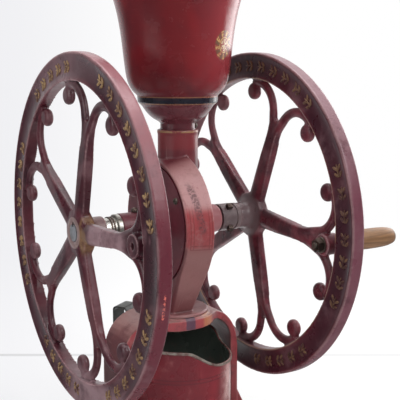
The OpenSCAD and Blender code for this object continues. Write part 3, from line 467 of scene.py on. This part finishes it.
# the wreath, whose spread is 1 at its edge
crest = dict(turn=0.44, height=0.527, wide=0.0175, tall=0.0190, barrel=0.072, leaves=9, curl=3.2, petals=3)
flaked = (0.42, 0.52)
hopperLayers = (
    # painted light on the hopper's side towards +x and -y
    ("litSide", dict(litAxis=(0.015, 0.06), share=0.5)),
    # painted shade down the hopper's middle
    ("deep", dict(litAxis=(-0.012, 0.014, 0.024), share=0.45)),
    ("lower", dict(z=(0.475, 0.445), share=0.7)),
    ("band", dict(z=(bandMiddle, bandHalf, 0.0004))),
    ("gold", dict(z=(bandMiddle + bandHalf + bandGap, 0.0004, 0.0003), share=0.25)),
    ("gold", dict(z=(bandMiddle - bandHalf - bandGap, 0.0004, 0.0003), share=0.25)),
    ("leaf", dict(spread=(0.74, 0.2, 0.08), leaves=(0.0, -0.4), flakes=flaked, share=0.8)),
    ("gold", dict(spread=(0.78, 0.16, 0.05), leaves=(0.1, 0.4), flakes=flaked)),
    ("gold", dict(spread=(0.5, 0.03, 0.03), flakes=flaked)),
    ("pale", dict(spread=(0.42, 0.36), petals=(0.35, 0.55), flakes=flaked)),
)


def hopperCoat(tree, where, coat):
    # painted light on one side and painted shade down its middle, black band with dull edges, plum cup below
    # it, small gilt and green wreath
    x, y, z = axes(tree, where)
    turn = sums(tree, "ARCTAN2", x, times(tree, y, -1))
    across = times(tree, less(tree, turn, crest["turn"]), crest["barrel"] / crest["wide"])
    rise = times(tree, less(tree, z, crest["height"]), 1 / crest["tall"])
    spread = radius(tree, across, rise)
    around = sums(tree, "ARCTAN2", rise, across)
    swirl = plus(tree, times(tree, around, crest["leaves"]), times(tree, spread, crest["curl"]))
    seen = dict(
        z=z, spread=spread, litAxis=alongAxis(tree, x, y, hopperLook["litAxis"]),
        leaves=sums(tree, "SINE", swirl), flakes=noise(tree, where, **hopperLook["flakes"]),
        petals=sums(tree, "ABSOLUTE", sums(tree, "SINE", times(tree, around, crest["petals"]))),
    )
    return layered(tree, coat, hopperLook, hopperLayers, seen)


canLook = dict(
    paint=srgb(136, 36, 46), shade=srgb(104, 28, 38), rubbed=srgb(170, 104, 104), primerAndShade=srgb(54, 30, 32),
    inside=srgb(84, 92, 86), floor=srgb(150, 158, 150), rubbedAndLit=srgb(212, 172, 168), seam=srgb(70, 26, 34),
    cloudScale=9, rubAmount=0.4, chipAmount=0.5, gloss=(0.22, 0.4), wear=dict(scale=45, detail=6, rough=0.7),
)
canWall = 0.0722
# painted light: the can's inside paler towards its floor
tinLayers = (("floor", dict(z=(0.085, 0.03))),)
canLayers = (
    ("seam", dict(z=(0.089, 0.0004, 0.0006), share=0.6)),
    ("seam", dict(z=(0.084, 0.0004, 0.0006), share=0.6)),
    # a pale place on the can's right side: rubbed paint and painted highlight
    ("rubbedAndLit", dict(turn=(0.70, 0.06, 0.34), wear=(0.25, 0.65), share=0.85)),
    ("tin", dict(reach=(canWall, canWall - 0.0003))),
)


def canCoat(tree, where, coat):
    # two thin beads and a rubbed place with a painted highlight outside, bare dark tin inside with painted
    # light on its floor
    x, y, z = axes(tree, where)
    seen = dict(
        z=z, reach=radius(tree, x, y), turn=sums(tree, "ARCTAN2", x, times(tree, y, -1)),
        wear=noise(tree, where, **canLook["wear"]),
    )
    tin = layered(tree, canLook["inside"], canLook, tinLayers, seen)
    return layered(tree, coat, dict(canLook, tin=tin), canLayers, seen)


def partPaint(name, paint, shade, **more):
    # the body's enamel in another colour, without its worn edges
    return wornPaint(name, dict(bodyLook, edges=0, paint=srgb(*paint), shade=srgb(*shade), **more))


def partMetal(name, clean, stained, gloss, **more):
    return plainMetal(name, dict(clean=srgb(*clean), stained=srgb(*stained), gloss=gloss, **more))


paints = {
    "wheel_plum": wornPaint("wheelPaint", wheelLook, wheelCoat),
    "body_red": wornPaint("bodyPaint", bodyLook, bodyCoat),
    "hopper_red": wornPaint("hopperPaint", hopperLook, hopperCoat),
    "can_red": wornPaint("canPaint", canLook, canCoat),
    "cover_plum": partPaint("coverPaint", (96, 38, 48), (74, 28, 38)),
    "knob_black": partPaint("knobPaint", (30, 28, 30), (22, 20, 22), rubbed=srgb(80, 76, 74)),
    "strap_black": partPaint("strapPaint", (40, 42, 40), (28, 30, 30), rubbed=srgb(96, 92, 88)),
    "collar_grey": partPaint("collarPaint", (132, 112, 112), (98, 82, 84), rubbed=srgb(160, 142, 138)),
    "old_steel": partMetal("oldSteel", (150, 145, 136), (96, 88, 80), 0.3),
    "dark_steel": partMetal("darkSteel", (104, 90, 84), (62, 50, 46), 0.34),
    "bright_steel": partMetal("brightSteel", (190, 188, 182), (140, 134, 126), 0.22),
    "bronze": partMetal("oldBronze", (150, 116, 70), (98, 74, 50), 0.3),
    "burr_iron": partMetal("burrIron", (84, 82, 80), (58, 54, 52), 0.4),
    "ferrule_brass": partMetal("wornBrass", (176, 146, 92), (120, 96, 64), 0.26),
    "tin_wire": partMetal("tinWire", (176, 168, 158), (130, 100, 96), 0.3, metal=0.7),
    "grip_wood": turnedWood("gripWood", woodLook),
}
ownPaint = {
    "base": wornPaint("basePaint", baseLook, baseCoat),
    "shaft": partMetal("shaftSteel", (132, 134, 140), (104, 102, 104), 0.36, metal=0.3),
}
gilt = partMetal("wornGilt", (160, 130, 92), (86, 52, 54), 0.36, metal=0.4, stainScale=80)
dullGilt = partMetal("dullGilt", (118, 88, 64), (74, 42, 44), 0.4, metal=0.3, stainScale=110)

slotOf = {part["node"]: part["material_slot"] for part in frame["record"]["subparts"]}
paintOf = {name: ownPaint.get(name, paints[slotOf[name]]) for name in nodes}
for name, obj in nodes.items():
    obj.data.materials.clear()
    obj.data.materials.append(paintOf[name])
print("finishes given to", len(slotOf), "nodes")

# castings with soft edges and filleted corners, and how large the faces of their new meshes are
casting = dict(
    grains={"left_wheel": 0.0015, "right_wheel": 0.0015, "mill_body": 0.0013, "base": 0.0013},
    weld=0.00001, rounds=3, ease=0.5,
)


def linked(name, data):
    obj = bpy.data.objects.new(name, data)
    bpy.context.scene.collection.objects.link(obj)
    return obj


def softCast(name, grain):
    # a merged copy of the solid, remeshed evenly, then its edges and corners eased
    source = nodes[name]
    mesh = source.data.copy()
    mesh.name = name + "Casting"
    merged = bmesh.new()
    merged.from_mesh(mesh)
    bmesh.ops.remove_doubles(merged, verts=merged.verts, dist=casting["weld"])
    merged.to_mesh(mesh)
    merged.free()
    obj = linked(name + "Casting", mesh)
    even = obj.modifiers.new("even", "REMESH")
    even.mode = "VOXEL"
    even.voxel_size = grain
    remeshed = bpy.data.meshes.new_from_object(obj.evaluated_get(bpy.context.evaluated_depsgraph_get()))
    obj.modifiers.clear()
    eased = bmesh.new()
    eased.from_mesh(remeshed)
    for _ in range(casting["rounds"]):
        bmesh.ops.smooth_vert(
            eased, verts=eased.verts, factor=casting["ease"], use_axis_x=True, use_axis_y=True, use_axis_z=True)
    eased.to_mesh(remeshed)
    eased.free()
    remeshed.name = name + "Casting"
    remeshed.materials.clear()
    remeshed.materials.append(paintOf[name])
    remeshed.shade_smooth()
    obj.data = remeshed
    bpy.data.meshes.remove(mesh)
    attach(obj, source["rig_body"])
    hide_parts(name)
    print(name, "cast with", len(remeshed.polygons), "faces")


for name, grain in casting["grains"].items():
    softCast(name, grain)

# raised gilded ornament in the coves of both rims: a sprig is a stem with two pairs of leaves
rim = dict(
    leftX=-0.1442, rightX=0.1234, half=0.00925, depth=0.0026, middle=0.2105,
    leftStart=0.2, rightStart=0.9, groups=(8, 5, 8, 5, 7), gap=2.6, rise=0.0016,
    stem=(0.0014, 0.0086), leaf=(0.0054, 0.0021), leafSteps=(-0.0034, 0.0050), leafSide=0.0042, leafLean=0.75,
)


def addLobe(bm, centre, size, turn):
    # one flattened leaf lying in the cove, in the plane of the wheel
    made = bmesh.ops.create_uvsphere(bm, u_segments=8, v_segments=5, radius=1)
    flattened = Matrix.Diagonal((rim["rise"], *size, 1))
    place = Matrix.Translation(centre) @ Matrix.Rotation(turn, 4, "X") @ flattened
    bmesh.ops.transform(bm, matrix=place, verts=made["verts"])


def rimOrnament(name, wheelX, startTurn, finish):
    # laurel sprigs in five groups round the rim
    bm = bmesh.new()
    steps = sum(rim["groups"]) + rim["gap"] * len(rim["groups"])
    faceX = wheelX - rim["half"] + rim["depth"]
    count = 0.0
    for group in rim["groups"]:
        for _ in range(group):
            turn = startTurn + 2 * math.pi * count / steps
            outward = Vector((0, -math.cos(turn), math.sin(turn)))
            along = Vector((0, -math.sin(turn), -math.cos(turn)))
            centre = Vector((faceX, 0, shaftHeight)) + outward * rim["middle"]
            lean = math.atan2(outward.z, outward.y)
            addLobe(bm, centre, rim["stem"], lean)
            for side in (1, -1):
                for step in rim["leafSteps"]:
                    leaf = centre + along * step + outward * (rim["leafSide"] * side)
                    addLobe(bm, leaf, rim["leaf"], lean - rim["leafLean"] * side)
            count += 1
        count += rim["gap"]
    bmesh.ops.recalc_face_normals(bm, faces=bm.faces)
    mesh = bpy.data.meshes.new(name)
    bm.to_mesh(mesh)
    bm.free()
    mesh.materials.append(finish)
    mesh.shade_smooth()
    obj = linked(name, mesh)
    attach(obj, "drive")


rimOrnament("leftRimOrnament", rim["leftX"], rim["leftStart"], gilt)
rimOrnament("rightRimOrnament", rim["rightX"], rim["rightStart"], dullGilt)
print("rims gilded")

# floor, light and camera, with right and away as the main view's directions along the floor
cameraSet = dict(place=(-0.57446, -1.01722, 0.50502), turn=(80.999, 0, -30.924), lens=78.18, sensor=36)
room = dict(
    right=(0.8578, -0.5139), away=(0.5139, 0.8578), sides=(-0.24, -0.02),
    leftTone=srgb(240, 240, 243), rightTone=srgb(255, 255, 255),
    edgePoint=(0.174, 0.233), edgeHalf=0.004, edgeFade=0.6, edgeTone=srgb(212, 212, 214),
    floorPaint=(0.95, 0.95, 0.95), floorGloss=0.9, floorShine=0.1, floorHalf=40,
    shadowShare=0.14, shadowReach=(1.4, 0.5), lampFill=0.26,
    mirrorLow=0.15, mirrorHigh=1.0, mirrorBehind=(0.4, 0.85), mirrorTop=0.5, mirrorAbove=(0.3, 0.8),
)


def backdropSide(tree, x, y, reach):
    # none on the left, full on the right
    return zone(tree, sums(tree, "DIVIDE", alongAxis(tree, x, y, room["right"]), reach), room["sides"])


def backdropTone(tree, side):
    # greyer on the left, white on the right
    return blend(tree, side, room["leftTone"], room["rightTone"])


def mirrorTone(tree, x, y, reach):
    # polished faces find the bright backdrop behind the mill and a dim room in front
    behind = sums(tree, "DIVIDE", alongAxis(tree, x, y, room["away"]), reach)
    lit = times(tree, zone(tree, behind, room["mirrorBehind"]), room["mirrorHigh"] - room["mirrorLow"])
    return plus(tree, room["mirrorLow"], lit)


# the floor's tones run out from one fixed point, so that they meet the backdrop's in the main view
floorMat, tree, shader, where = startMaterial("paleFloor")
x, y = axes(tree, where)[:2]
fromX, fromY, fromZ = cameraSet["place"]
offX, offY = less(tree, x, fromX), less(tree, y, fromY)
side = backdropSide(tree, offX, offY, radius(tree, radius(tree, offX, offY), fromZ))
rightX, rightY = room["right"]
edgeX, edgeY = room["edgePoint"]
off = less(tree, alongAxis(tree, x, y, (-rightY, rightX)), rightX * edgeY - rightY * edgeX)
edge = zone(tree, off, (0, room["edgeHalf"], room["edgeHalf"]))
edge = times(tree, edge, less(tree, 1, times(tree, side, room["edgeFade"])))
seen = blend(tree, edge, backdropTone(tree, side), room["edgeTone"])
shader.inputs["Base Color"].default_value = (*room["floorPaint"], 1)
shader.inputs["Roughness"].default_value = room["floorGloss"]
shader.inputs["Specular IOR Level"].default_value = room["floorShine"]
glow = tree.nodes.new("ShaderNodeEmission")
plug(tree, glow.inputs["Color"], seen)
path = tree.nodes.new("ShaderNodeLightPath")
reach = radius(tree, x, y)
plug(tree, glow.inputs["Strength"], most(tree, path.outputs["Is Camera Ray"], mirrorTone(tree, x, y, reach)))
direct = sums(tree, "ADD", path.outputs["Is Camera Ray"], path.outputs["Is Glossy Ray"], clamp=True)
both = tree.nodes.new("ShaderNodeMixShader")
shadow = times(tree, room["shadowShare"], zone(tree, reach, room["shadowReach"]))
plug(tree, both.inputs[0], times(tree, direct, less(tree, 1, shadow)))
tree.links.new(shader.outputs[0], both.inputs[1])
tree.links.new(glow.outputs[0], both.inputs[2])
tree.links.new(both.outputs[0], tree.nodes["Material Output"].inputs["Surface"])

floorBm = bmesh.new()
bmesh.ops.create_grid(floorBm, x_segments=1, y_segments=1, size=room["floorHalf"])
floorMesh = bpy.data.meshes.new("floor")
floorBm.to_mesh(floorMesh)
floorBm.free()
floorMesh.materials.append(floorMat)
floor = linked("floor", floorMesh)

world = bpy.data.worlds.new("paleRoom")
bpy.context.scene.world = world
world.use_nodes = True
sky = world.node_tree
background = sky.nodes["Background"]
path = sky.nodes.new("ShaderNodeLightPath")
seen = sums(sky, "ADD", path.outputs["Is Camera Ray"], path.outputs["Is Transmission Ray"], clamp=True)
x, y, z = axes(sky, sky.nodes.new("ShaderNodeTexCoord").outputs["Generated"])
above = times(sky, zone(sky, z, room["mirrorAbove"]), room["mirrorTop"])
mirrored = less(sky, plus(sky, mirrorTone(sky, x, y, 1.0), above), room["lampFill"])
strength = plus(sky, room["lampFill"], times(sky, seen, 1 - room["lampFill"]))
strength = plus(sky, strength, times(sky, path.outputs["Is Glossy Ray"], mirrored))
plug(sky, background.inputs["Strength"], strength)
tone = backdropTone(sky, backdropSide(sky, x, y, 1.0))
plug(sky, background.inputs["Color"], blend(sky, seen, (1.0, 1.0, 1.0), tone))

lampAim = (0, 0, 0.3)
lamps = {
    "keySoft": dict(place=(0.5, -1.5, 1.5), size=1.0, power=20),
    "leftSoft": dict(place=(-1.7, -0.3, 0.9), size=1.2, power=12),
    "rightSoft": dict(place=(1.7, 0.2, 0.8), size=1.2, power=20),
    "topSoft": dict(place=(0.1, 0.1, 2.0), size=1.4, power=30),
}
for name, lamp in lamps.items():
    data = bpy.data.lights.new(name, "AREA")
    data.shape = "SQUARE"
    data.size = lamp["size"]
    data.energy = lamp["power"]
    obj = linked(name, data)
    obj.location = lamp["place"]
    obj.rotation_euler = (Vector(lampAim) - Vector(lamp["place"])).to_track_quat("-Z", "Y").to_euler()

cameraData = bpy.data.cameras.new("camera")
cameraData.lens = cameraSet["lens"]
cameraData.sensor_width = cameraSet["sensor"]
camera = linked("camera", cameraData)
camera.location = cameraSet["place"]
camera.rotation_euler = [math.radians(a) for a in cameraSet["turn"]]
bpy.context.scene.camera = camera
bpy.context.scene.view_settings.view_transform = "Standard"
print("light and camera set")
